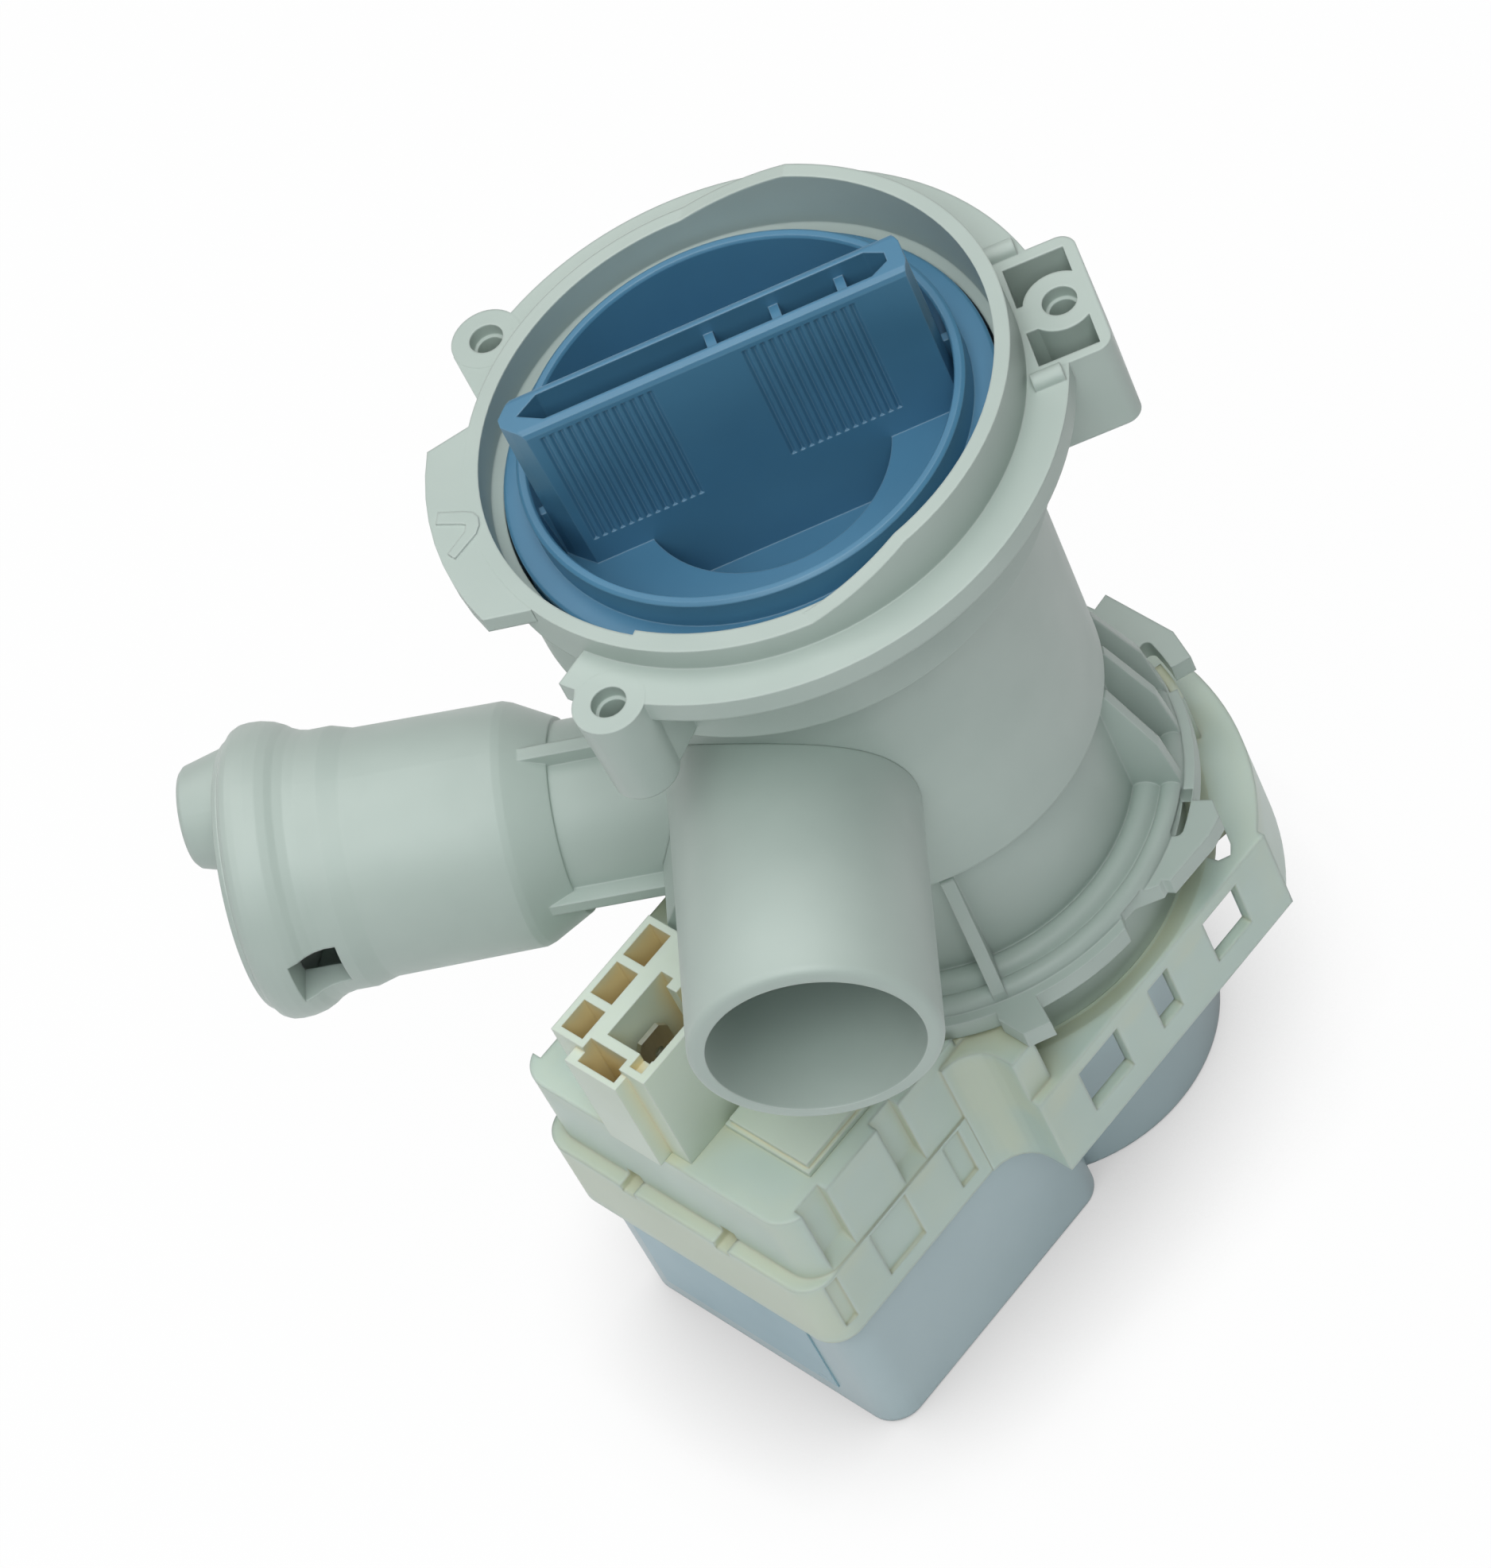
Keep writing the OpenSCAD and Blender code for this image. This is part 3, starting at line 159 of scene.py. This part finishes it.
def metal(name, tint, roughness):
    """Bare metal with fine lines along Z that spread its highlight."""
    material, tree = new_material(name)
    place = add(tree, "TexCoord").outputs["Object"]
    stretch = add(tree, "Mapping", Vector=place, Scale=(1000.0 / BRUSH_MM, 1000.0 / BRUSH_MM, BRUSH_ALONG))
    lines = add(tree, "TexNoise", Vector=stretch.outputs["Vector"], Scale=1.0, Detail=2.0)
    tone = add(tree, "Mix", {"data_type": "RGBA"}, Factor=lines.outputs["Fac"], i6=colour(tint[0]),
               i7=colour(tint[1]))
    spread = add(tree, "MapRange", Value=lines.outputs["Fac"], To_Min=roughness + METAL_STRAY[0],
                 To_Max=roughness + METAL_STRAY[1])
    skin = add(tree, "BsdfPrincipled", Base_Color=tone.outputs[2], Roughness=spread.outputs["Result"],
               Metallic=1.0)
    finish_material(tree, skin.outputs["BSDF"])
    return material


# Mineral-filled polypropylene: pale grey-green, satin, with a dull broad highlight
filled_polypropylene = moulded("filled_polypropylene", "C0CCC5", "B9C6BF", "D0DAD4", 0.44)
# Natural PBT: cream, a little light passes through its thin walls, and its pockets get a painted shade
natural_pbt = moulded("natural_pbt", "CEDFD7", "C8D9D0", "DDEAE2", 0.42, edge_mm=1.1, thin="DCE0C6",
                      painted_pocket_shade="D8D6B6", alone=False, glow=0.12)
# Grey PBT of the motor cover, smoother than the frame
grey_pbt = moulded("grey_pbt", "C0D1D6", "B9CBD0", "CCDADD", 0.38, edge_mm=0.8)
# Off-white polyamide of the connector, warm and satin, with a painted shade in its pockets
white_polyamide = moulded("white_polyamide", "DDE8DB", "D7E2D2", "E8EEE4", 0.42, edge_mm=0.35, painted_pocket_shade="F2DCA2",
                          glow=0.1)
# Blue polypropylene of the cap, smoother, with a broad soft shine
blue_polypropylene = moulded("blue_polypropylene", "5388A8", "4D81A1", "769DB8", 0.34, edge_mm=0.35)
# Vinyl film of the bare label, blue and smooth
vinyl_film = moulded("vinyl_film", "9BBECA", "95B8C5", "A9C4CF", 0.3, edge_mm=0.1)
# Nitrile rubber, matte black
nitrile_rubber = moulded("nitrile_rubber", "1C1C1E", "232325", "2C2C2E", 0.62)
# White acetal of the impeller and the bobbins, clean and satin
white_acetal = moulded("white_acetal", "E2E3DF", "DADBD6", "EBEBE8", 0.38)
# Carbon-filled bearing material, dark grey
carbon_bearing = moulded("carbon_bearing", "2E2E31", "353538", "404043", 0.45)
# Sintered ferrite, dull black-grey
sintered_ferrite = moulded("sintered_ferrite", "2B2A2C", "323133", "3A393B", 0.6)
# Ground steel of the shaft and the pin, bright with fine lines
ground_steel = metal("ground_steel", ("B4B6B8", "C6C7C9"), 0.25)
# Tinned brass of the blades, a warm dull silver
tinned_brass = metal("tinned_brass", ("CFCBC1", "E2DFD7"), 0.36)
# Electrical steel of the laminations, dark and dull
electrical_steel = metal("electrical_steel", ("6E7276", "868A8D"), 0.4)
# Enamelled copper wire, red-brown with a soft shine
enamelled_copper = metal("enamelled_copper", ("9C4F28", "B8683A"), 0.3)

FINISHES = {
    "housing_plastic": filled_polypropylene, "frame_plastic": natural_pbt, "cover_plastic": grey_pbt,
    "connector_plastic": white_polyamide, "cap_plastic": blue_polypropylene, "label_film": vinyl_film,
    "rubber": nitrile_rubber, "impeller_plastic": white_acetal, "bobbin_plastic": white_acetal,
    "can_plastic": natural_pbt, "bearing_carbon": carbon_bearing, "magnet_ferrite": sintered_ferrite,
    "steel": ground_steel, "terminal_metal": tinned_brass, "laminations": electrical_steel,
    "copper_wire": enamelled_copper}

for part in frame["record"]["subparts"]:
    piece = frame["nodes"][part["node"]]
    for place in piece.material_slots:
        place.material = FINISHES[part["material_slot"]]

# Studio

# How far the painted shadow round the foot reaches over the paper, and how much of its white is its own
CONTACT_SHADOW_MM = 34.0
PAPER_OWN_WHITE = 0.97
SOFTBOX_SIZE = (1.0, 0.9)
TOP_SIZE = (2.0, 1.0)
# Where the softboxes point
AIM = (0.0, 0.0, 0.08)
# Light of the room between the softboxes
ROOM_LIGHT = 0.03


def studio():
    material, tree = new_material("white_paper")
    paper = add(tree, "BsdfDiffuse", Color=colour("F4F5F6"))
    # Painted shadow: the paper's own white is dimmed where the object is near
    contact_occlusion = add(tree, "AmbientOcclusion", {"samples": 16}, Distance=CONTACT_SHADOW_MM * MM)
    painted_contact_shadow = add(tree, "MapRange", Value=contact_occlusion.outputs["AO"], From_Min=0.3, From_Max=0.9, To_Min=0.5, To_Max=1.0)
    shine = add(tree, "Emission", Color=(1.0, 1.0, 1.0, 1.0), Strength=painted_contact_shadow.outputs["Result"])
    paths = add(tree, "LightPath")
    seen = add(tree, "Math", {"operation": "MAXIMUM"}, i0=paths.outputs["Is Camera Ray"],
               i1=paths.outputs["Is Glossy Ray"])
    share = add(tree, "Math", {"operation": "MULTIPLY"}, i0=seen.outputs[0], i1=PAPER_OWN_WHITE)
    blend = add(tree, "MixShader", Fac=share.outputs[0])
    tree.links.new(paper.outputs[0], blend.inputs[1])
    tree.links.new(shine.outputs[0], blend.inputs[2])
    finish_material(tree, blend.outputs[0])
    bpy.ops.mesh.primitive_circle_add(vertices=64, radius=4.0, fill_type="NGON", location=(0, 0, -0.0004))
    floor = bpy.context.active_object
    floor.name = "paper_floor"
    floor.data.materials.append(material)

    world = bpy.data.worlds.new("soft_room")
    bpy.context.scene.world = world
    world.use_nodes = True
    tree = world.node_tree
    tree.nodes.clear()
    paths = add(tree, "LightPath")
    seen = add(tree, "Math", {"operation": "MAXIMUM"}, i0=paths.outputs["Is Camera Ray"],
               i1=paths.outputs["Is Transmission Ray"])
    ambient = add(tree, "Background", Color=(0.95, 0.98, 1.0, 1.0), Strength=ROOM_LIGHT)
    white = add(tree, "Background", Color=(1.0, 1.0, 1.0, 1.0), Strength=1.0)
    blend = add(tree, "MixShader", Fac=seen.outputs[0])
    tree.links.new(ambient.outputs[0], blend.inputs[1])
    tree.links.new(white.outputs[0], blend.inputs[2])
    out = add(tree, "OutputWorld")
    tree.links.new(blend.outputs[0], out.inputs["Surface"])

    def softbox(name, spot, power, tint=(1.0, 1.0, 1.0), size=SOFTBOX_SIZE):
        data = bpy.data.lights.new(name, "AREA")
        data.shape = "RECTANGLE"
        data.size, data.size_y = size
        data.energy = power
        data.color = tint
        lamp = bpy.data.objects.new(name, data)
        bpy.context.scene.collection.objects.link(lamp)
        lamp.location = spot
        lamp.rotation_euler = (Vector(AIM) - Vector(spot)).to_track_quat("-Z", "Y").to_euler()

    softbox("top_softbox", (0.14, 0.0, 1.6), 16.0, size=TOP_SIZE)
    softbox("back_left_softbox", (-0.7, 0.7, 1.2), 3.4)
    softbox("front_left_softbox", (-0.8, -0.6, 1.2), 2.8)
    softbox("front_softbox", (0.1, -0.9, 1.2), 6.0, (0.9, 1.0, 1.0))
    bpy.context.scene.view_settings.view_transform = "Standard"


studio()
